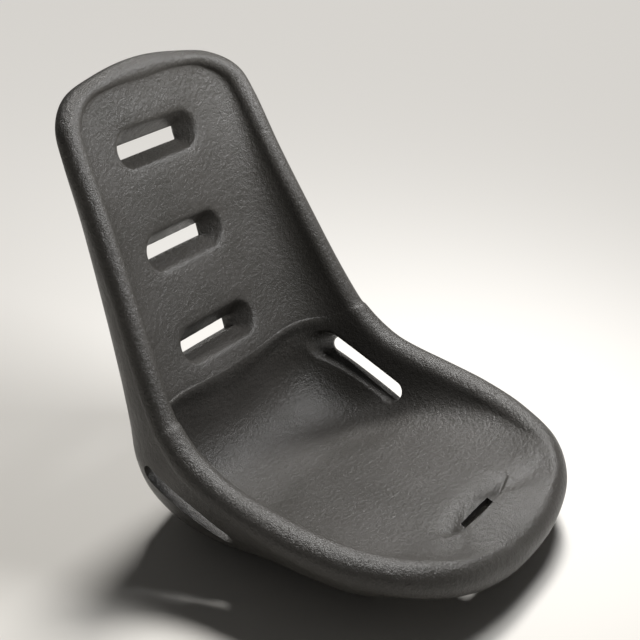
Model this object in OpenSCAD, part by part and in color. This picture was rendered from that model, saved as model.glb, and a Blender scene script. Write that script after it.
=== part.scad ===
// Low-back racing seat: a hollow double-walled plastic moulding that stands on its own flat base.
// The sitter faces -Y, +X is the sitter's left, and the base rests on Z = 0.

/* [Overall] */
// Width over the rim at the hips
seat_w = 480; // [450:5:500]
// Stretch of the fore-and-aft sizes
length_scale = 1; // [0.95:0.01:1.05]
// Stretch of the heights
height_scale = 1; // [0.95:0.01:1.05]

/* [Moulding] */
// Thickness of each plastic wall
wall_t = 5; // [5:0.5:6]
// Radius of the round rim along the sides and the back
rim_r = 16; // [14:0.5:18]
// Radius of the rounded nose at the front edge
nose_r = 24; // [22:1:26]
// Distance from the back panel to the rear wall
back_t = 30; // [26:1:34]

/* [Shoulder belt slots] */
// Length of a slot's funnel at the seating side
shoulder_l = 152; // [130:1:160]
// Height of a slot's funnel at the seating side
shoulder_h = 54; // [46:1:58]
// Length of the square-cornered hole in the rear wall
shoulder_hole_l = 114; // [90:1:124]
// Height of the square-cornered hole in the rear wall
shoulder_hole_h = 19; // [14:1:22]

/* [Lap belt slots] */
// Length of the hole through each side wall
lap_l = 140; // [124:1:142]
// Height of the hole through each side wall
lap_h = 24; // [20:1:26]
// Slope of the slot, down toward the front
lap_angle = 21.5; // [20:0.5:24]

/* [Crotch belt slot] */
// Length of the scoop across the pan
crotch_l = 144; // [120:1:150]
// Fore-and-aft size of the scoop
crotch_w = 44; // [36:1:46]
// Length of the hole at the bottom of the scoop
crotch_hole_l = 70; // [54:1:80]
// Fore-and-aft size of that hole
crotch_hole_w = 15; // [12:1:20]

/* [Base fixings] */
// Spacing of the threaded inserts across the base
insert_dx = 200; // [180:5:210]
// Spacing of the threaded inserts along the base
insert_dy = 180; // [150:5:200]
// Radius of the threaded bore
insert_bore_r = 4; // [3:0.5:5]
// Radius of the hole that each vent plug closes
vent_r = 6.5; // [5:0.5:8]

/* [Hidden] */

plastic = [0.16, 0.16, 0.165];
steel = [0.72, 0.72, 0.70];
kx = seat_w / 480;
ky = length_scale;
kz = height_scale;

// One row for each station from the top of the back, down one side, to the nose:
// rim x, y, z; seating line y, z; depth angle; rear line y, z; nose share; squareness of the bowl;
// fullness of the rear wall; growth of the rim's radius toward the nose's
STATIONS = [
    [0, 240, 582, 231.4, 515, 75, 267, 538, 0, 0.3, 0.72, 0],
    [64, 239, 579, 230.6, 512, 75, 267, 534, 0, 0.3, 0.72, 0],
    [118, 231, 571, 229.6, 508, 75, 265, 527, 0, 0.3, 0.72, 0],
    [154, 213, 549, 228.1, 502, 75, 261, 515, 0, 0.3, 0.72, 0],
    [166, 194, 512, 225, 490, 75, 256, 492, 0, 0.3, 0.72, 0],
    [173, 160, 440, 212, 440, 74, 245, 438, 0, 0.25, 0.74, 0],
    [186, 116, 348, 187, 346, 72, 222, 337, 0, 0.25, 0.76, 0],
    [198, 79, 271, 154, 256, 68, 198, 248, 0, 0.3, 0.8, 0.1],
    [207, 48, 215, 123, 188, 62, 180, 178, 0, 0.5, 0.9, 0.2],
    [209, 37, 204, 117, 170, 60, 177, 156, 0, 0.7, 0.93, 0.3],
    [211, 23, 190, 122, 130, 54, 171, 110, 0, 0.7, 0.97, 0.4],
    [213, 5, 176, 113, 84, 42, 161, 58, 0, 0.65, 0.92, 0.5],
    [214, -18, 164, 76, 52, 22, 128, 4, 0, 0.65, 0.78, 0.6],
    [217, -50, 153, 12, 46, 6, 66, -28, 0, 0.6, 0.62, 0.66],
    [218.6, -102, 142, -72, 60, 0, -50, -32, 0, 0.4, 0.46, 0.7],
    [217, -162, 131, -150, 74, 0, -140, -30, 0.04, 0.3, 0.36, 0.74],
    [206, -226, 119, -214, 83, 0, -196, -14, 0.18, 0.2, 0.42, 0.8],
    [180, -289, 105, -246, 87, 0, -216, 44, 0.5, 0.2, 0.6, 0.88],
    [132, -331, 87, -256, 87, 0, -238, 56, 0.8, 0.2, 0.64, 0.94],
    [67, -350, 71, -260, 87, 0, -248, 58, 0.96, 0.2, 0.64, 1],
    [0, -354, 65, -262, 87, 0, -250, 58, 1, 0.2, 0.64, 1]];
LAST = len(STATIONS) - 1;
STEPS = 2;
HALF = LAST * STEPS;
AROUND = 2 * HALF;

function mirrored(row) = [for (i = [0 : len(row) - 1]) i == 0 ? -row[i] : row[i]];
function station(i) = i < 0 ? mirrored(STATIONS[-i]) : i > LAST ? mirrored(STATIONS[2 * LAST - i]) : STATIONS[i];
// A smooth curve through four neighbouring values, at f between the middle two
function through(a, b, c, d, f) =
    b + (c - a) * f / 2 + (2 * a - 5 * b + 4 * c - d) * f * f / 2 + (3 * b - a - 3 * c + d) * f * f * f / 2;
function row_at(s) = let (i = max(0, min(floor(s), LAST - 1)))
    through(station(i - 1), station(i), station(i + 1), station(i + 2), s - i);
function mix(a, b, f) = a + (b - a) * f;
function bezier(a, b, c, d, f) =
    a * pow(1 - f, 3) + b * 3 * f * pow(1 - f, 2) + c * 3 * f * f * (1 - f) + d * pow(f, 3);
function unit(v) = v / norm(v);

// The frame of one section: where it starts on the seating line, its way out to the rim, its way up
function section_start(row) = [0, row[3] * ky, row[4] * kz];
function section_up(row) = [0, -sin(row[5]), cos(row[5])];
function rim_point(row) = [row[0] * kx, row[1] * ky, row[2] * kz];
function across(v, up) = v - up * (v * up);
function section_out(row) = across(rim_point(row) - section_start(row), section_up(row));
function placed(row, pq) = section_start(row) + unit(section_out(row)) * pq[0] + section_up(row) * pq[1];
// Way up at right angles to the seating line itself
function line_up(s) = let (d = section_start(row_at(s + 0.25)) - section_start(row_at(s - 0.25)))
    norm(d) < 0.6 ? section_up(row_at(s)) : unit([0, d[2], -d[1]]);

// The round rim, which grows into the nose at the front
function bead_r(row) = mix(rim_r, nose_r, row[11]);
function rise(row) = (rim_point(row) - section_start(row)) * section_up(row);
function bead_start(row) = let (r = bead_r(row))
    mix(-acos(max(0.17, min(1, (r - 0.65 * rise(row)) / r))), 12, row[8]);
function bead_end(row) = mix(112, 138, row[8]);
function bead_centre(row) = let (crest = mix(0, 74, row[8]))
    [norm(section_out(row)) - bead_r(row) * sin(crest), rise(row) - bead_r(row) * cos(crest)];
function on_bead(row, a) = placed(row, bead_centre(row) + bead_r(row) * [sin(a), cos(a)]);
function along_bead(row, a) = unit(section_out(row)) * cos(a) - section_up(row) * sin(a);

// Seating side of the section at station s, from the middle line to the parting line under the rim
FLAT = 3;
CURVE = 7;
BEAD = 7;
function seating_section(s) = let (
        row = row_at(s),
        a = bead_start(row),
        b = bead_end(row),
        join = on_bead(row, a),
        start = section_start(row),
        out = unit(across(join - start, line_up(s))),
        whole = (join - start) * out,
        flat_end = start + out * 0.42 * whole,
        lift = mix(0.5 + 0.35 * row[9], 0.3, row[8]) * max(abs((join - start) * section_up(row)), 3))
    concat(
        [for (i = [0 : FLAT - 1]) mix(start, flat_end, i / FLAT)],
        [for (i = [0 : CURVE - 1])
            bezier(flat_end, flat_end + out * (0.3 + 0.25 * row[9]) * whole, join - lift * along_bead(row, a), join,
                i / CURVE)],
        [for (i = [0 : BEAD]) on_bead(row, mix(a, b, i / BEAD))]);
// Rear side of the same section, from its own middle line to the parting line, flattened onto the floor
REAR = 10;
function rear_section(s) = let (
        row = row_at(s),
        start = on_bead(row, bead_end(row)),
        end = [0, row[6] * ky, row[7] * kz],
        up = section_up(row),
        out = unit(section_out(row)),
        drop = abs((start - end) * up),
        span = abs((start - end) * out),
        back = row[5] / 75)
    [for (i = [0 : REAR]) let (p = bezier(end, end + out * row[10] * span,
            start - up * mix(0.42, 0.62, back) * drop - out * 0.06 * span, start, i / REAR))
        [p[0], p[1], i == REAR ? p[2] : max(p[2], 0)]];

// Both sheets as rings of sections right round the seat, sitter's right side first
function sided(p, j) = j <= HALF ? [-p[0], p[1], p[2]] : p;
function turned(j) = min(j, AROUND - j) / STEPS;
SEATING = [for (j = [0 : AROUND - 1]) [for (p = seating_section(turned(j))) sided(p, j)]];
REARWARD = [for (j = [0 : AROUND - 1]) let (r = rear_section(turned(j)), n = len(SEATING[j]) - 1)
    [for (i = [0 : REAR]) i == REAR ? SEATING[j][n] : sided(r[i], j)]];

// Directions into the hollow, and a sheet moved that way by the wall's thickness
function wrapped(j) = (j + AROUND) % AROUND;
function slope(g, j, i, way) = let (
        n = len(g[0]) - 1,
        c = way * cross(g[wrapped(j + 1)][i] - g[wrapped(j - 1)][i], g[j][min(i + 1, n)] - g[j][max(i - 1, 0)]))
    norm(c) < 0.0001 ? [0, 0, 0] : unit(c);
function ring_slope(j) = unit(slope(SEATING, j, len(SEATING[0]) - 1, 1) + slope(REARWARD, j, REAR, -1));
function middle_slope(g, j, way) = let (
        a = slope(g, j, 1, way),
        b = slope(g, wrapped(AROUND - j), 1, way))
    unit(a + b);
function thinned(g, way) = [for (j = [0 : AROUND - 1]) [for (i = [0 : len(g[0]) - 1])
    g[j][i] + wall_t * (i == 0 ? middle_slope(g, j, way) : i == len(g[0]) - 1 ? ring_slope(j) : slope(g, j, i, way))]];
SEATING_IN = thinned(SEATING, 1);
REARWARD_IN = thinned(REARWARD, -1);

// A sheet's points, with the middle line shared by both sides, and its faces, offset by first
function sheet_points(g) = concat([for (j = [0 : HALF]) g[j][0]],
    [for (j = [0 : AROUND - 1]) for (i = [1 : len(g[0]) - 1]) g[j][i]]);
function spot(j, i, n, first) = first + (i == 0 ? min(wrapped(j), AROUND - wrapped(j)) :
    HALF + 1 + wrapped(j) * n + i - 1);
function sheet_faces(n, first, flip) = [for (j = [0 : AROUND - 1]) for (i = [0 : n - 1]) for (h = [0, 1]) let (
        a = spot(j, i, n, first),
        b = spot(j, i + 1, n, first),
        c = spot(j + 1, i + 1, n, first),
        d = spot(j + 1, i, n, first),
        f = h == 0 ? [a, b, c] : [a, c, d])
    flip ? f : [f[0], f[2], f[1]]];
function count(g) = HALF + 1 + AROUND * (len(g[0]) - 1);

// A closed solid between an outer sheet and an inner one, joined along the parting ring
module skin(outer, inner, flip) {
    n = len(outer[0]) - 1;
    k = count(outer);
    edge = [for (j = [0 : AROUND - 1]) for (h = [0, 1]) let (
            a = spot(j, n, n, 0),
            b = spot(j + 1, n, n, 0),
            f = h == 0 ? [a, a + k, b + k] : [a, b + k, b])
        flip ? f : [f[0], f[2], f[1]]];
    polyhedron(concat(sheet_points(outer), sheet_points(inner)),
        concat(sheet_faces(n, 0, flip), sheet_faces(n, k, !flip), edge), convexity = 8);
}
// The whole outside of the seat, filled
module envelope() {
    polyhedron(concat(sheet_points(SEATING), sheet_points(REARWARD)),
        concat(sheet_faces(len(SEATING[0]) - 1, 0, false), sheet_faces(REAR, count(SEATING), true)), convexity = 8);
}

// Joins meshes without changing their size
module meshed() resize([0, 0, 0]) union() children();

// Everything is shifted along Y so that the origin is under the middle of the seat's overall length
ALL_Y = [for (g = [SEATING, REARWARD]) for (ring = g) for (p = ring) p[1]];
MIDDLE_Y = (min(ALL_Y) + max(ALL_Y)) / 2;
module centred() translate([0, -MIDDLE_Y, 0]) children();

// A long hole with round ends, lying along X
module stadium(l, w, h) {
    hull() for (s = [-1, 1]) translate([s * (l - w) / 2, 0, 0]) cylinder(r = w / 2, h = h, $fn = 40);
}
// A tapered passage from a round-ended mouth at height z to a square-cornered end at height end_z
module taper(l, w, z, end_l, end_w, end_z, shift) {
    hull() {
        translate([0, 0, z]) stadium(l, w, 1);
        translate([-end_l / 2, shift - end_w / 2, end_z]) cube([end_l, end_w, 1]);
    }
}
// A funnel along -Z from a round-ended mouth at z = 0 to a square-cornered hole at the depth, grown by g
module funnel(l, w, hole_l, hole_w, depth, shift, g) {
    flare = 1 + 12 / depth;
    taper(hole_l + (l - hole_l) * flare + 2 * g, hole_w + (w - hole_w) * flare + 2 * g, 12,
        hole_l + 2 * g - 1, hole_w + 2 * g - 1, -depth - 2, shift);
    translate([-hole_l / 2 - g, shift - hole_w / 2 - g, -depth - 30])
        cube([hole_l + 2 * g, hole_w + 2 * g, 34]);
}

// Shoulder slots lie on the back panel at these heights
SHOULDER_Z = [487, 350, 228];
// How far each hole sits above the middle of its funnel
SHOULDER_SHIFT = [-4, 0, -1];
function station_at(z) = lookup(-z, [for (i = [0 : 10]) [-STATIONS[i][4], i]]);
module on_panel(z) {
    s = station_at(z);
    up = line_up(s);
    translate(section_start(row_at(s))) rotate([atan2(-up[1], up[2]), 0, 0]) children();
}
module shoulder_funnel(k, g) {
    on_panel(SHOULDER_Z[k]) funnel(shoulder_l, shoulder_h, shoulder_hole_l, shoulder_hole_h, back_t,
        SHOULDER_SHIFT[k], g);
}

// Lap slots run out and down through the side walls, and widen both ways from a waist
LAP_AT = [190.5, 27, 110.5];
LAP_TILT = 18;
LAP_WAIST = 16;
module lap_bar(side, g) {
    l = lap_l + 2 * g;
    h = lap_h + 2 * g;
    mirror([side < 0 ? 1 : 0, 0, 0]) translate([LAP_AT[0] * kx, LAP_AT[1] * ky, LAP_AT[2] * kz])
        rotate([0, LAP_TILT, 0]) rotate([lap_angle - 90, 0, 0]) rotate([0, 90, 0]) {
            hull() {
                translate([0, 0, g > 0 ? -40 : -44]) stadium(l + 28, h + 35, 1);
                translate([0, 0, LAP_WAIST]) stadium(l, h, 1);
            }
            hull() {
                translate([0, 0, LAP_WAIST]) stadium(l, h, 1);
                translate([0, 0, g > 0 ? 46 : 50]) stadium(l + 27, h + 27, 1);
            }
        }
}

// The crotch slot: a leaf-shaped scoop in the pan whose steep front wall drops into a hole that flares out below
CROTCH_AT = [0, -261, 87];
CROTCH_DEPTH = 14;
CROTCH_REACH = 1.86;
FLARE = [44, 40, 32];
module crotch_funnel(g) {
    shift = (crotch_hole_w - crotch_w) / 2 + 1;
    l = crotch_hole_l + 2 * g;
    w = crotch_hole_w + 2 * g;
    front = shift - w / 2;
    leaf_l = l + (crotch_l - crotch_hole_l) * CROTCH_REACH;
    leaf_w = w + (crotch_w - crotch_hole_w) * CROTCH_REACH;
    translate([CROTCH_AT[0], CROTCH_AT[1] * ky, CROTCH_AT[2] * kz]) {
        hull() {
            translate([0, front - 1 + leaf_w / 2, 12]) scale([leaf_l / leaf_w, 1, 1])
                cylinder(r = leaf_w / 2, h = 1, $fn = 48);
            translate([-l / 2 + 0.5, front + 0.5, -CROTCH_DEPTH - 2]) cube([l - 1, w - 1, 1]);
        }
        translate([-l / 2, front, -CROTCH_DEPTH - 6]) cube([l, w, 10]);
        hull() {
            translate([-l / 2 + 1, front + 1, -CROTCH_DEPTH - 2]) cube([l - 2, w + 8, 1]);
            translate([-l / 2 - FLARE[0] / 2, front - 3, -CROTCH_DEPTH - FLARE[2]])
                cube([l + FLARE[0], w + FLARE[1], 1]);
        }
    }
}

module all_slots(g) {
    for (k = [0 : 2]) shoulder_funnel(k, g);
    for (side = [-1, 1]) lap_bar(side, g);
    crotch_funnel(g);
}

// Threaded inserts moulded into bosses in the base
INSERT_R = 8;
INSERT_H = 20;
function insert_place(ix, iy) = [ix * insert_dx / 2, MIDDLE_Y + iy * insert_dy / 2, 0];
module insert(ix, iy) {
    color(steel) centred() translate(insert_place(ix, iy)) difference() {
        union() {
            cylinder(r = INSERT_R, h = INSERT_H - 12, $fn = 64);
            translate([0, 0, INSERT_H - 12]) cylinder(r = INSERT_R - 1.5, h = 4, $fn = 64);
            translate([0, 0, INSERT_H - 8]) cylinder(r = INSERT_R, h = 8, $fn = 64);
        }
        translate([0, 0, -1]) cylinder(r = insert_bore_r, h = INSERT_H - 3, $fn = 64);
    }
}
module insert_bosses() {
    for (ix = [-1, 1]) for (iy = [-1, 1]) translate(insert_place(ix, iy))
        cylinder(r = INSERT_R + wall_t, h = INSERT_H + wall_t, $fn = 36);
}
module insert_pockets() {
    for (ix = [-1, 1]) for (iy = [-1, 1]) translate(insert_place(ix, iy) - [0, 0, 1])
        cylinder(r = INSERT_R + 0.05, h = INSERT_H + 1, $fn = 64);
}

// Vent plugs close the moulding's vent holes at the lower rear corners
VENT_S = 9.9;
VENT_I = 3;
module on_vent(side) {
    section = rear_section(VENT_S);
    ahead = rear_section(VENT_S + 0.3)[VENT_I] - rear_section(VENT_S - 0.3)[VENT_I];
    way = unit(cross(section[VENT_I + 1] - section[VENT_I - 1], ahead));
    mirror([side < 0 ? 1 : 0, 0, 0]) translate(section[VENT_I])
        rotate([0, acos(way[2]), atan2(way[1], way[0])]) children();
}
module vent_plug(side) {
    color(plastic) centred() on_vent(side) {
        translate([0, 0, -9]) cylinder(r = vent_r, h = 9.4, $fn = 48);
        translate([0, 0, 0.4]) cylinder(r = vent_r + 2, h = 1.6, $fn = 48);
    }
}

module seating_skin() {
    color(plastic) centred() meshed() difference() {
        skin(SEATING, SEATING_IN, false);
        all_slots(wall_t);
    }
}
module rear_skin() {
    color(plastic) centred() meshed() difference() {
        union() {
            skin(REARWARD, REARWARD_IN, true);
            insert_bosses();
        }
        all_slots(wall_t);
        insert_pockets();
        for (side = [-1, 1]) on_vent(side) translate([0, 0, -20]) cylinder(r = vent_r + 0.05, h = 40, $fn = 48);
    }
}
module shoulder_slot(k) {
    color(plastic) centred() meshed() intersection() {
        difference() {
            shoulder_funnel(k, wall_t);
            shoulder_funnel(k, 0);
        }
        envelope();
    }
}
module lap_slot(side) {
    color(plastic) centred() meshed() intersection() {
        difference() {
            lap_bar(side, wall_t);
            lap_bar(side, 0);
        }
        envelope();
    }
}
module crotch_slot() {
    color(plastic) centred() meshed() intersection() {
        difference() {
            crotch_funnel(wall_t);
            crotch_funnel(0);
        }
        envelope();
    }
}

seating_skin();
rear_skin();
shoulder_slot(0);  // shoulder_slot_upper
shoulder_slot(1);  // shoulder_slot_middle
shoulder_slot(2);  // shoulder_slot_lower
lap_slot(-1);  // lap_slot_right
lap_slot(1);  // lap_slot_left
crotch_slot();
insert(-1, 1);  // base_insert_rear_right
insert(1, 1);  // base_insert_rear_left
insert(-1, -1);  // base_insert_front_right
insert(1, -1);  // base_insert_front_left
vent_plug(-1);  // vent_plug_right
vent_plug(1);  // vent_plug_left
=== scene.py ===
"""A low-back racing seat: a smooth hollow plastic moulding with its fittings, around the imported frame."""

import math

import bmesh
import bpy
import numpy as np
from mathutils import Matrix, Vector


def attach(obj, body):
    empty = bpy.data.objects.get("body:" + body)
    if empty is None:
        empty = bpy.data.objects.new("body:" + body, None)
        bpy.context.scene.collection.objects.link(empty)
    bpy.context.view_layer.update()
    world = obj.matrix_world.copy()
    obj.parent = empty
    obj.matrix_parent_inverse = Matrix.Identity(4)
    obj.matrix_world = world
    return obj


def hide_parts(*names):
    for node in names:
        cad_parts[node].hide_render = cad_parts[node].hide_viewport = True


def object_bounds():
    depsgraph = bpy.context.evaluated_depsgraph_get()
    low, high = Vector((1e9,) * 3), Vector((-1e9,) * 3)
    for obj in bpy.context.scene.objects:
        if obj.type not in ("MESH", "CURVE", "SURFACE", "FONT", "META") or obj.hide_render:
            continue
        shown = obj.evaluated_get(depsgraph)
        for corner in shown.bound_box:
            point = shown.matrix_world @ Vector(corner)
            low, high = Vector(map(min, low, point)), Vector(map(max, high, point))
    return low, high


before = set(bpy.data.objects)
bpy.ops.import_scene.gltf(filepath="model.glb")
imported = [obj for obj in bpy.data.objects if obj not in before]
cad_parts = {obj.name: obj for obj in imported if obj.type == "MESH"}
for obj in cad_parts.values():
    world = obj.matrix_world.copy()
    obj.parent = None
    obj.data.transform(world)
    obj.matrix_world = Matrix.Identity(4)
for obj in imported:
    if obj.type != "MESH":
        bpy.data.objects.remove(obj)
cad_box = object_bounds()

MM = 0.001

# ---------------------------------------------------------------- shape of the moulding, in mm
# Each row: rim x, y, z; seating line y, z; depth angle; rear line y, z; nose share; squareness of the bowl;
# fullness of the rear wall; growth of the rim's radius toward the nose's
STATIONS = np.array([
    [0, 240, 582, 231.4, 515, 75, 267, 538, 0, 0.3, 0.72, 0],
    [64, 239, 579, 230.6, 512, 75, 267, 534, 0, 0.3, 0.72, 0],
    [118, 231, 571, 229.6, 508, 75, 265, 527, 0, 0.3, 0.72, 0],
    [154, 213, 549, 228.1, 502, 75, 261, 515, 0, 0.3, 0.72, 0],
    [166, 194, 512, 225, 490, 75, 256, 492, 0, 0.3, 0.72, 0],
    [173, 160, 440, 212, 440, 74, 245, 438, 0, 0.25, 0.74, 0],
    [186, 116, 348, 187, 346, 72, 222, 337, 0, 0.25, 0.76, 0],
    [198, 79, 271, 154, 256, 68, 198, 248, 0, 0.3, 0.8, 0.1],
    [207, 48, 215, 123, 188, 62, 180, 178, 0, 0.5, 0.9, 0.2],
    [209, 37, 204, 117, 170, 60, 177, 156, 0, 0.7, 0.93, 0.3],
    [211, 23, 190, 122, 130, 54, 171, 110, 0, 0.7, 0.97, 0.4],
    [213, 5, 176, 113, 84, 42, 161, 58, 0, 0.65, 0.92, 0.5],
    [214, -18, 164, 76, 52, 22, 128, 4, 0, 0.65, 0.78, 0.6],
    [217, -50, 153, 12, 46, 6, 66, -28, 0, 0.6, 0.62, 0.66],
    [218.6, -102, 142, -72, 60, 0, -50, -32, 0, 0.4, 0.46, 0.7],
    [217, -162, 131, -150, 74, 0, -140, -30, 0.04, 0.3, 0.36, 0.74],
    [206, -226, 119, -214, 83, 0, -196, -14, 0.18, 0.2, 0.42, 0.8],
    [180, -289, 105, -246, 87, 0, -216, 44, 0.5, 0.2, 0.6, 0.88],
    [132, -331, 87, -256, 87, 0, -238, 56, 0.8, 0.2, 0.64, 0.94],
    [67, -350, 71, -260, 87, 0, -248, 58, 0.96, 0.2, 0.64, 1],
    [0, -354, 65, -262, 87, 0, -250, 58, 1, 0.2, 0.64, 1]], float)
LAST = len(STATIONS) - 1
RIM_R = 16
NOSE_R = 24
# How far forward of the frame's origin the shape's own origin lies
MIDDLE_Y = -40.8
# Half the spacing of the base inserts, and the size of their pockets
INSERT_X, INSERT_Y = 100, 90
INSERT_R, INSERT_H = 8.05, 20.1
# Part of v taken by the flat, the bend, the round rim and the rear wall
FLAT_V = 0.12
BEND_V = 0.42
RIM_V = 0.66
# How far the rear wall sits in under the rim's lower edge, and how much of v that takes to fade
PARTING_STEP = 4.5
PARTING_FADE = 0.2
# Reach of a slot's shaping, above and below its own middle
REACH_UP, REACH_DOWN = 50, 20
# Edges longer than this are split around the slots
FINE_EDGE = 2.2
# Sharpest fold, in degrees, that is still shaded smooth
SMOOTH_FOLD = 38
# Vertices nearer than this, in metres, are joined
JOIN_WITHIN = 0.00002


def mix(a, b, f):
    return a + (b - a) * f


def unit(v):
    return v / np.linalg.norm(v, axis=-1, keepdims=True)


def dot(a, b):
    return (a * b).sum(-1, keepdims=True)


def bezier(a, b, c, d, f):
    g = 1 - f
    return a * g**3 + 3 * b * f * g**2 + 3 * c * f**2 * g + d * f**3


def row_at(s):
    """Stations blended smoothly at each value of s."""
    mirror = np.ones(STATIONS.shape[1])
    mirror[0] = -1
    rows = np.vstack([STATIONS[1] * mirror, STATIONS, STATIONS[-2] * mirror])
    i = np.clip(np.floor(s).astype(int), 0, LAST - 1)
    f = (s - i)[:, None]
    a, b, c, d = (rows[i + k] for k in range(4))
    return b + (c - a) * f / 2 + (2 * a - 5 * b + 4 * c - d) * f**2 / 2 + (3 * b - a - 3 * c + d) * f**3 / 2


def seating_start(row):
    return np.stack([0 * row[:, 0], row[:, 3], row[:, 4]], 1)


def section_up(row):
    a = np.radians(row[:, 5])
    return np.stack([0 * a, -np.sin(a), np.cos(a)], 1)


def line_up(s):
    """Way up at right angles to the seating line itself."""
    d = seating_start(row_at(s + 0.25)) - seating_start(row_at(s - 0.25))
    n = np.stack([0 * s, d[:, 2], -d[:, 1]], 1)
    short = np.linalg.norm(n, axis=1) < 0.6
    n[short] = section_up(row_at(s))[short]
    return unit(n)


def surface(s, v, side):
    """The outside of the moulding: s runs from the top down to the nose, and v from the middle of the
    seating side, over the rim, to the middle of the rear side."""
    row = row_at(s)
    up = section_up(row)
    start = seating_start(row)
    rim = row[:, :3] - start
    out_v = rim - up * dot(rim, up)
    out = unit(out_v)
    rise = dot(rim, up)
    nose = row[:, 8:9]
    square = row[:, 9:10]
    r = mix(RIM_R, NOSE_R, row[:, 11:12])
    crest = np.radians(mix(0, 74, nose))
    a = mix(-np.arccos(np.clip((r - 0.65 * rise) / r, 0.17, 1)), math.radians(12), nose)
    b = np.radians(mix(112, 138, nose))
    centre_out = np.linalg.norm(out_v, axis=1, keepdims=True) - r * np.sin(crest)
    centre_up = rise - r * np.cos(crest)

    def on_rim(angle):
        return start + out * (centre_out + r * np.sin(angle)) + up * (centre_up + r * np.cos(angle))

    join = on_rim(a)
    lift = mix(0.5 + 0.35 * square, 0.3, nose) * np.maximum(np.abs(dot(join - start, up)), 3)
    sheet_up = line_up(s)
    to_join = join - start
    sheet_out = unit(to_join - sheet_up * dot(to_join, sheet_up))
    whole = dot(to_join, sheet_out)
    flat_end = start + sheet_out * 0.42 * whole
    along = out * np.cos(a) - up * np.sin(a)
    vv = v[:, None]
    flat = mix(start, flat_end, vv / FLAT_V)
    bend = bezier(flat_end, flat_end + sheet_out * (0.3 + 0.25 * square) * whole, join - lift * along, join,
                  (vv - FLAT_V) / (BEND_V - FLAT_V))
    rim_part = on_rim(mix(a, b, (vv - BEND_V) / (RIM_V - BEND_V)))
    # Rear wall, from the parting line to the middle of the rear side
    edge = on_rim(b)
    end = np.stack([0 * s, row[:, 6], row[:, 7]], 1)
    drop = np.abs(dot(edge - end, up))
    span = np.abs(dot(edge - end, out))
    back = row[:, 5:6] / 75
    f = (vv - RIM_V) / (1 - RIM_V)
    rear = bezier(edge, edge - up * mix(0.42, 0.62, back) * drop - out * 0.06 * span,
                  end + out * row[:, 10:11] * span, end, f)
    p = np.where(vv <= FLAT_V, flat, np.where(vv <= BEND_V, bend, np.where(vv <= RIM_V, rim_part, rear)))
    p[:, 0] = np.abs(p[:, 0]) * side
    return p


# ---------------------------------------------------------------- slots
class Slot:
    """A slot's own frame: a along its length, b across it, and depth into the wall."""

    def __init__(self, at, along, across, size, hole, depth, shift, lip, margin=16):
        self.at = np.array(at, float)
        self.along = unit(np.array(along, float))
        self.across = unit(np.array(across, float))
        self.inward = np.cross(self.across, self.along)
        self.size, self.hole, self.depth = size, hole, depth
        self.shift, self.lip, self.margin = shift, lip, margin

    def local(self, p):
        d = p - self.at
        return d @ self.along, d @ self.across, d @ self.inward

    def place(self, a, b, c):
        return self.at + self.along * a + self.across * b + self.inward * c

    def mouth_distance(self, a, b):
        """Distance inside the round-ended mouth, less than 0 outside it."""
        l, w = self.size
        return w / 2 - np.hypot(np.maximum(np.abs(a) - (l - w) / 2, 0), b)

    def hole_distance(self, a, b):
        """Distance outside the hole."""
        l, w = self.hole[:2]
        r = self.hole[2]
        qa = np.abs(a) - l / 2 + r
        qb = np.abs(b - self.shift) - w / 2 + r
        return np.hypot(np.maximum(qa, 0), np.maximum(qb, 0)) + np.minimum(np.maximum(qa, qb), 0) - r

    def near(self, p):
        a, b, c = self.local(p)
        return (self.mouth_distance(a, b) > -self.margin) & (c > -REACH_UP) & (c < REACH_DOWN)

    def sink(self, p):
        """How deep each point of the seating side goes."""
        a, b, c = self.local(p)
        x = self.wanted(a, b, c)
        soft = (x + np.sqrt(x**2 + self.lip**2)) / 2
        far = np.clip((self.mouth_distance(a, b) + self.margin) / 6, 0, 1)
        return self.limit(soft, c) * far * far * (3 - 2 * far)

    def wanted(self, a, b, c):
        inside = self.mouth_distance(a, b)
        outside = np.maximum(self.hole_distance(a, b), 0)
        return np.where(inside > 0, self.depth * inside / (inside + outside + 1e-6), inside * 1.3)

    def limit(self, soft, c):
        return np.minimum(soft, self.depth)


class WallSlot(Slot):
    """A slot through a slanted wall: its funnel is a cone that narrows to a waist at the stated depth."""
    STEEP = 3.7

    def wanted(self, a, b, c):
        return self.depth - self.STEEP * np.maximum(self.hole_distance(a, b), 0) - c

    def limit(self, soft, c):
        return np.minimum(soft, np.maximum(self.depth - c, 0))


class Scoop(Slot):
    """A leaf-shaped dip: a gentle slope at the rear that runs down to a short bowed wall at the front."""
    # Forward reach of the valley line at its tips, its bow, and the reach of the rear slope and front wall
    TIPS, BOW, REAR, WALL = 8, 9, 38, 6

    def wanted(self, a, b, c):
        across = np.clip(1 - (a / (self.size[0] / 2))**2, 0, 1)
        valley = -self.TIPS - self.BOW * across
        rear = np.clip((self.REAR - b) / (self.REAR - valley), 0, 1)
        front = np.clip((b - valley + self.WALL) / self.WALL, 0, 1)
        slope = self.depth * across**0.7 * rear**2.5
        return slope * front * front * (3 - 2 * front)

    def sink(self, p):
        return self.wanted(*self.local(p))


def panel_slot(z, shift):
    s = np.interp(-z, -STATIONS[:11, 4], np.arange(11.0))
    s = np.array([s])
    up = line_up(s)[0]
    at = seating_start(row_at(s))[0]
    return Slot(at, (1, 0, 0), (0, up[2], -up[1]), (152, 54), (114, 19, 1.5), 30, shift, 5)


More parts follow.
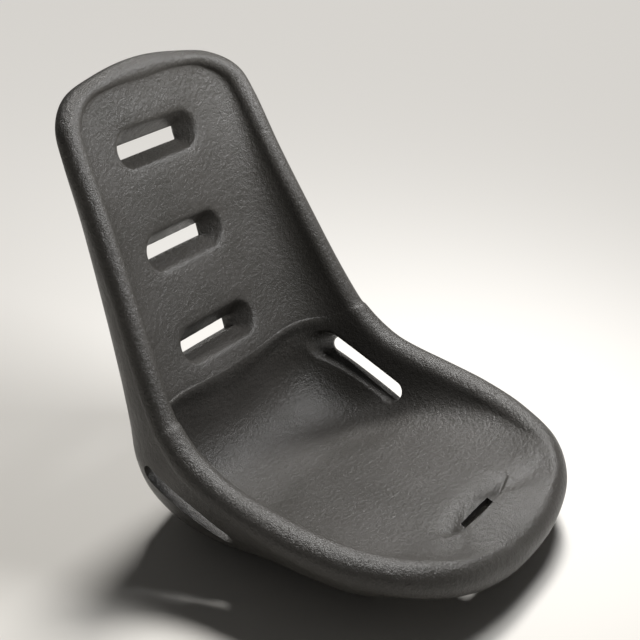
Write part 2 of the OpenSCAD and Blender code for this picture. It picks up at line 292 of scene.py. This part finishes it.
def side_slot(side):
    tilt, slope = math.radians(18), math.radians(21.5)
    turn = Matrix.Rotation(tilt, 3, "Y") @ Matrix.Rotation(slope - math.pi / 2, 3, "X") @ Matrix.Rotation(
        math.pi / 2, 3, "Y")
    along, across = np.array(turn.col[0]), np.array(turn.col[1])
    at = np.array([190.5, 27, 110.5])
    if side < 0:
        along, across, at = along * [-1, 1, 1], across * [-1, 1, 1], at * [-1, 1, 1]
        across = -across
    slot = WallSlot(at, along, across, (172, 60), (140, 24, 12), 16, 0, 3, 14)
    if slot.inward[0] * side < 0:
        slot.across = -slot.across
        slot.inward = -slot.inward
    return slot


SHOULDER = [panel_slot(487, -4), panel_slot(350, 0), panel_slot(228, -1)]
LAP = [side_slot(side) for side in (-1, 1)]
CROTCH = Scoop((0, -261, 87), (1, 0, 0), (0, 1, 0), (166, 90), (70, 15, 2), 14, -13.5, 1)
SLOTS = SHOULDER + LAP + [CROTCH]


# ---------------------------------------------------------------- mesh of the moulding
def build_shell():
    steps = [10] * 4 + [14] * 5 + [8] * 2 + [10] * 3 + [12] * 2 + [10] * 4
    s_values = np.concatenate([i + np.arange(n) / n for i, n in enumerate(steps)] + [[LAST]])
    half = len(s_values) - 1
    v_values = np.concatenate([np.linspace(0, FLAT_V, 8)[:-1], np.linspace(FLAT_V, BEND_V, 19)[:-1],
                               np.linspace(BEND_V, RIM_V, 15)[:-1], [RIM_V, RIM_V + 0.003],
                               RIM_V + (1 - RIM_V) * np.linspace(0, 1, 28)[1:]])
    rows = len(v_values) - 1
    around = 2 * half
    bm = bmesh.new()
    s_layer = bm.verts.layers.float.new("s")
    v_layer = bm.verts.layers.float.new("v")
    grid = []
    for j in range(around):
        turned = min(j, around - j)
        s = s_values[turned]
        ring = []
        for i, v in enumerate(v_values):
            shared = i in (0, rows) and 0 < turned < half and j > half
            if shared:
                ring.append(grid[around - j][i])
                continue
            vert = bm.verts.new((0, 0, 0))
            vert[s_layer] = s
            vert[v_layer] = v
            ring.append(vert)
        grid.append(ring)
    sides = [-1 if j <= half else 1 for j in range(around)]
    verts = list(dict.fromkeys(v for ring in grid for v in ring))
    side_of = {}
    for j, ring in enumerate(grid):
        for v in ring:
            side_of.setdefault(v, sides[j])
    points = surface(np.array([v[s_layer] for v in verts]), np.array([v[v_layer] for v in verts]),
                     np.array([side_of[v] for v in verts]))
    for v, p in zip(verts, points):
        v.co = p
    for j in range(around):
        nxt = grid[(j + 1) % around]
        for i in range(rows):
            corners = list(dict.fromkeys([grid[j][i], grid[j][i + 1], nxt[i + 1], nxt[i]]))
            if len(corners) > 2:
                bm.faces.new(corners)
    bmesh.ops.recalc_face_normals(bm, faces=bm.faces)
    for slot in SLOTS:
        refine(bm, slot, v_layer)
    bm.verts.ensure_lookup_table()
    s = np.array([v[s_layer] for v in bm.verts])
    v = np.array([v[v_layer] for v in bm.verts])
    x = np.array([v.co.x for v in bm.verts])
    p = surface(s, v, np.where(x < 0, -1, 1))
    p = detail(p, s, v)
    for vert, co in zip(bm.verts, p):
        vert.co = co
    return bm


def refine(bm, slot, v_layer):
    """Smaller faces around a slot's mouth."""
    for _ in range(3):
        faces = list(bm.faces)
        centres = np.array([f.calc_center_median() for f in faces])
        near = slot.near(centres)
        front = np.array([min(v[v_layer] for v in f.verts) < RIM_V - 0.1 for f in faces])
        chosen = [f for f, n, g in zip(faces, near, front) if n and g]
        edges = [e for e in {e for f in chosen for e in f.edges} if e.calc_length() > FINE_EDGE]
        if not edges:
            return
        bmesh.ops.subdivide_edges(bm, edges=edges, cuts=1, use_grid_fill=True)


def detail(p, s, v):
    """Sinks the slots, and sets the rear wall in under the edge of the rim."""
    for slot in SLOTS:
        near = slot.near(p) & (v < RIM_V - 0.05)
        sunk = slot.sink(p)
        p = p + np.where(near, sunk, 0)[:, None] * slot.inward
    past = np.clip((v - RIM_V) / PARTING_FADE, 0, 1)
    step = np.where(v > RIM_V + 0.001, PARTING_STEP * (1 - past)**2, 0)
    step *= 1 - np.clip(row_at(s)[:, 8] * 2, 0, 1)
    p[:, 0] -= np.sign(p[:, 0]) * np.minimum(step, np.abs(p[:, 0]))
    p[:, 2] = np.maximum(p[:, 2], 0)
    return p


def object_from(bm, name):
    """Turns finished mesh data into an object."""
    mesh = bpy.data.meshes.new(name)
    bm.to_mesh(mesh)
    bm.free()
    return bpy.data.objects.new(name, mesh)


def link(ob):
    bpy.context.scene.collection.objects.link(ob)


def solid(slot, outline, low, high, spread=0):
    """A bar through a slot, from depth low to depth high, where it is wider by spread all round."""
    bm = bmesh.new()
    middle = np.mean(outline, axis=0)
    wider = [np.array(q) + unit(np.array(q) - middle) * spread for q in outline]
    rings = []
    for ring, c in ((outline, low), (wider, high)):
        rings.append([bm.verts.new(slot.place(a, b, c)) for a, b in ring])
    n = len(outline)
    bm.faces.new(rings[0])
    bm.faces.new(rings[1])
    for i in range(n):
        bm.faces.new([rings[0][i], rings[0][(i + 1) % n], rings[1][(i + 1) % n], rings[1][i]])
    bmesh.ops.recalc_face_normals(bm, faces=bm.faces)
    return object_from(bm, "hole")


def hole_outline(slot):
    """The hole's outline with its rounded corners."""
    l, w, r = slot.hole
    n = 24 if r > 6 else 5
    points = []
    for k, (ca, cb) in enumerate(((1, 1), (-1, 1), (-1, -1), (1, -1))):
        for i in range(n + 1):
            t = math.pi / 2 * (k + i / n)
            a = ca * (l / 2 - r) + r * math.cos(t)
            b = cb * (w / 2 - r) + r * math.sin(t)
            points.append((a, slot.shift + b))
    kept = [points[0]]
    for q in points[1:]:
        if math.dist(q, kept[-1]) > 0.01 and math.dist(q, kept[0]) > 0.01:
            kept.append(q)
    return kept


def flare_solid():
    """The underside of the crotch slot, which widens downward and to the rear."""
    bm = bmesh.new()
    top, bottom = -CROTCH.depth - 4, -CROTCH.depth - 32
    front = CROTCH.shift - 7.5
    for z, l, lo, hi in ((top, 72, front + 1, front + 24), (bottom, 114, front - 3, front + 55)):
        for a in (-l / 2, l / 2):
            for b in (lo, hi):
                bm.verts.new(CROTCH.place(a, b, -z))
    bmesh.ops.convex_hull(bm, input=bm.verts)
    return object_from(bm, "flare")


def pocket(x, y):
    """The hole in the base around a threaded insert."""
    bm = bmesh.new()
    place = Matrix.Translation((x, y + MIDDLE_Y, 0))
    bmesh.ops.create_cone(bm, cap_ends=True, segments=48, radius1=INSERT_R, radius2=INSERT_R,
                          depth=2 * INSERT_H, matrix=place)
    return object_from(bm, "pocket")


def cut(target, cutters):
    for c in cutters:
        link(c)
        m = target.modifiers.new("cut", "BOOLEAN")
        m.operation = "DIFFERENCE"
        m.solver = "MANIFOLD"
        m.object = c
    bpy.context.view_layer.objects.active = target
    for m in list(target.modifiers):
        with bpy.context.temp_override(object=target):
            bpy.ops.object.modifier_apply(modifier=m.name)
    for c in cutters:
        bpy.data.objects.remove(c)


def keep_in_box(mesh):
    """Fits the moulding into the frame's box, which its finer facets overshoot by a hair."""
    co = np.empty(len(mesh.vertices) * 3)
    mesh.vertices.foreach_get("co", co)
    co = co.reshape(-1, 3)
    low, high = co.min(0), co.max(0)
    box_low, box_high = np.array(cad_box[0]), np.array(cad_box[1])
    co = box_low + (co - low) / (high - low) * (box_high - box_low)
    mesh.vertices.foreach_set("co", co.ravel())


def shell_object():
    ob = object_from(build_shell(), "seat_moulding")
    link(ob)
    cutters = [solid(slot, hole_outline(slot), slot.depth - 8, slot.depth + 50) for slot in SHOULDER]
    cutters += [solid(slot, hole_outline(slot), slot.depth - 6, slot.depth + 34, 15) for slot in LAP]
    cutters += [solid(CROTCH, hole_outline(CROTCH), CROTCH.depth - 12, CROTCH.depth + 8), flare_solid()]
    cutters += [pocket(x, y) for x in (-INSERT_X, INSERT_X) for y in (-INSERT_Y, INSERT_Y)]
    cut(ob, cutters)
    mesh = ob.data
    mesh.transform(Matrix.Scale(MM, 4) @ Matrix.Translation((0, -MIDDLE_Y, 0)))
    keep_in_box(mesh)
    bm = bmesh.new()
    bm.from_mesh(mesh)
    bmesh.ops.remove_doubles(bm, verts=bm.verts, dist=JOIN_WITHIN)
    for f in bm.faces:
        f.smooth = True
    for e in bm.edges:
        e.smooth = len(e.link_faces) != 2 or e.calc_face_angle(0) < math.radians(SMOOTH_FOLD)
    bm.to_mesh(mesh)
    bm.free()
    return ob


# ---------------------------------------------------------------- materials
PLASTIC_DARK, PLASTIC_LIGHT = (0.034, 0.032, 0.028, 1), (0.062, 0.058, 0.054, 1)
STEEL_DARK, STEEL_LIGHT = (0.42, 0.41, 0.38, 1), (0.6, 0.59, 0.56, 1)
# The floor's two tones are painted shade at the left and painted light at the right, standing in for light
# falling from the right
FLOOR_PAINTED_SHADE, FLOOR_PAINTED_LIGHT = (0.54, 0.52, 0.48, 1), (0.80, 0.785, 0.76, 1)


def new_material(name):
    """An empty material with a shader and the object's own coordinates."""
    m = bpy.data.materials.new(name)
    m.use_nodes = True
    nodes, links = m.node_tree.nodes, m.node_tree.links
    nodes.clear()
    shader = nodes.new("ShaderNodeBsdfPrincipled")
    links.new(shader.outputs[0], nodes.new("ShaderNodeOutputMaterial").inputs[0])
    coords = nodes.new("ShaderNodeTexCoord").outputs["Object"]
    return m, nodes, links, shader, coords


def blend_colours(nodes, links, factor, a, b):
    n = nodes.new("ShaderNodeMix")
    n.data_type = "RGBA"
    n.inputs["A"].default_value = a
    n.inputs["B"].default_value = b
    links.new(factor, n.inputs["Factor"])
    return n.outputs["Result"]


def moulded_plastic():
    m, nodes, links, shader, coords = new_material("moulded_polyethylene")

    def noise(scale, detail_level, rough=0.5):
        n = nodes.new("ShaderNodeTexNoise")
        n.inputs["Scale"].default_value = scale
        n.inputs["Detail"].default_value = detail_level
        n.inputs["Roughness"].default_value = rough
        links.new(coords, n.inputs["Vector"])
        return n.outputs["Fac"]

    def remap(value, lo, hi, to_lo, to_hi):
        n = nodes.new("ShaderNodeMapRange")
        for k, x in enumerate((lo, hi, to_lo, to_hi)):
            n.inputs[k + 1].default_value = x
        links.new(value, n.inputs[0])
        return n.outputs[0]

    cloud = noise(9, 4)
    fine = noise(300, 4, 0.7)
    speckle = nodes.new("ShaderNodeMath")
    speckle.operation = "MULTIPLY_ADD"
    links.new(fine, speckle.inputs[0])
    speckle.inputs[1].default_value = 0.8
    links.new(cloud, speckle.inputs[2])
    spots = remap(speckle.outputs[0], 0.6, 1.2, 0, 1)
    tone = blend_colours(nodes, links, spots, PLASTIC_DARK, PLASTIC_LIGHT)
    links.new(tone, shader.inputs["Base Color"])
    patches = noise(26, 5)
    links.new(remap(patches, 0.3, 0.7, 0.28, 0.42), shader.inputs["Roughness"])
    shader.inputs["IOR"].default_value = 1.52
    pebble = noise(420, 4, 0.7)
    coarse = noise(150, 2)
    add = nodes.new("ShaderNodeMath")
    add.operation = "MULTIPLY_ADD"
    links.new(coarse, add.inputs[0])
    add.inputs[1].default_value = 1.1
    links.new(pebble, add.inputs[2])
    bump = nodes.new("ShaderNodeBump")
    bump.inputs["Strength"].default_value = 0.85
    bump.inputs["Distance"].default_value = 0.0014
    links.new(add.outputs[0], bump.inputs["Height"])
    links.new(bump.outputs[0], shader.inputs["Normal"])
    return m


def zinc_steel():
    m, nodes, links, shader, coords = new_material("zinc_steel")
    n = nodes.new("ShaderNodeTexNoise")
    n.inputs["Scale"].default_value = 300
    links.new(coords, n.inputs["Vector"])
    tone = blend_colours(nodes, links, n.outputs["Fac"], STEEL_DARK, STEEL_LIGHT)
    links.new(tone, shader.inputs["Base Color"])
    shader.inputs["Metallic"].default_value = 1
    spread = nodes.new("ShaderNodeMapRange")
    spread.inputs[3].default_value = 0.28
    spread.inputs[4].default_value = 0.5
    links.new(n.outputs["Fac"], spread.inputs[0])
    links.new(spread.outputs[0], shader.inputs["Roughness"])
    return m


# ---------------------------------------------------------------- stage, light and camera
def make_floor():
    """A wide pale floor, painted darker at the left and lighter toward the right: painted shade and painted
    light, as if lit from the right.
    """
    bm = bmesh.new()
    bmesh.ops.create_grid(bm, x_segments=8, y_segments=8, size=9)
    ob = object_from(bm, "floor")
    ob.location = (0, 0, -0.0005)
    link(ob)
    m, nodes, links, shader, coords = new_material("pale_floor_painted_light")
    apart = nodes.new("ShaderNodeSeparateXYZ")
    links.new(coords, apart.inputs[0])
    # Painted light and shade: the floor's colour runs from the painted shade at the left to the painted
    # light at the right
    across = nodes.new("ShaderNodeMapRange")
    across.interpolation_type = "SMOOTHSTEP"
    across.inputs[1].default_value = -1.2
    across.inputs[2].default_value = 0.9
    links.new(apart.outputs[0], across.inputs[0])
    tone = blend_colours(nodes, links, across.outputs[0], FLOOR_PAINTED_SHADE, FLOOR_PAINTED_LIGHT)
    links.new(tone, shader.inputs["Base Color"])
    shader.inputs["Roughness"].default_value = 0.75
    ob.data.materials.append(m)


TARGET = Vector((0, -0.03329 - MIDDLE_Y * MM, 0.28592))
AZIMUTH, ELEVATION, DISTANCE, ROLL = -54.0, 26.10, 1.5549, -1.52


def make_camera():
    cam = bpy.data.cameras.new("camera")
    cam.lens = 67.5
    cam.sensor_width = 36
    ob = bpy.data.objects.new("camera", cam)
    az, el = math.radians(AZIMUTH), math.radians(ELEVATION)
    way = Vector((math.cos(el) * math.sin(az), -math.cos(el) * math.cos(az), math.sin(el)))
    ob.location = TARGET + way * DISTANCE
    turn = (-way).to_track_quat("-Z", "Y").to_matrix() @ Matrix.Rotation(math.radians(ROLL), 3, "Z")
    ob.rotation_euler = turn.to_euler()
    link(ob)
    bpy.context.scene.camera = ob


def area_light(name, position, aim, size, power, colour=(1, 1, 1)):
    light = bpy.data.lights.new(name, "AREA")
    light.shape = "RECTANGLE"
    light.size, light.size_y = size
    light.energy = power
    light.color = colour
    ob = bpy.data.objects.new(name, light)
    ob.location = position
    ob.rotation_euler = (Vector(aim) - Vector(position)).to_track_quat("-Z", "Y").to_euler()
    link(ob)


def sun_light(name, way, angle, strength, colour=(1, 1, 1)):
    light = bpy.data.lights.new(name, "SUN")
    light.angle = math.radians(angle)
    light.energy = strength
    light.color = colour
    ob = bpy.data.objects.new(name, light)
    ob.rotation_euler = Vector(way).to_track_quat("Z", "Y").to_euler()
    link(ob)


def make_lights():
    world = bpy.data.worlds.new("studio")
    world.use_nodes = True
    back = world.node_tree.nodes["Background"]
    back.inputs[0].default_value = (1, 0.985, 0.96, 1)
    back.inputs[1].default_value = 0.07
    bpy.context.scene.world = world
    sun_light("overhead", (0.42, 0.24, 0.88), 12, 2.7, (1, 0.985, 0.96))
    area_light("panel_fill", (0.3, -0.25, 0.95), (0, 0.2, 0.5), (0.4, 0.3), 10)


make_camera()
make_floor()
make_lights()
plastic = moulded_plastic()
steel = zinc_steel()
shell = shell_object()
shell.data.materials.clear()
shell.data.materials.append(plastic)
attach(shell, "root")
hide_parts("seating_skin", "rear_skin", "shoulder_slot_upper", "shoulder_slot_middle",
            "shoulder_slot_lower", "lap_slot_right", "lap_slot_left", "crotch_slot")
for node_name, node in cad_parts.items():
    node.data.materials.clear()
    node.data.materials.append(steel if node_name.startswith("base_insert") else plastic)
bpy.context.scene.view_settings.view_transform = "Standard"
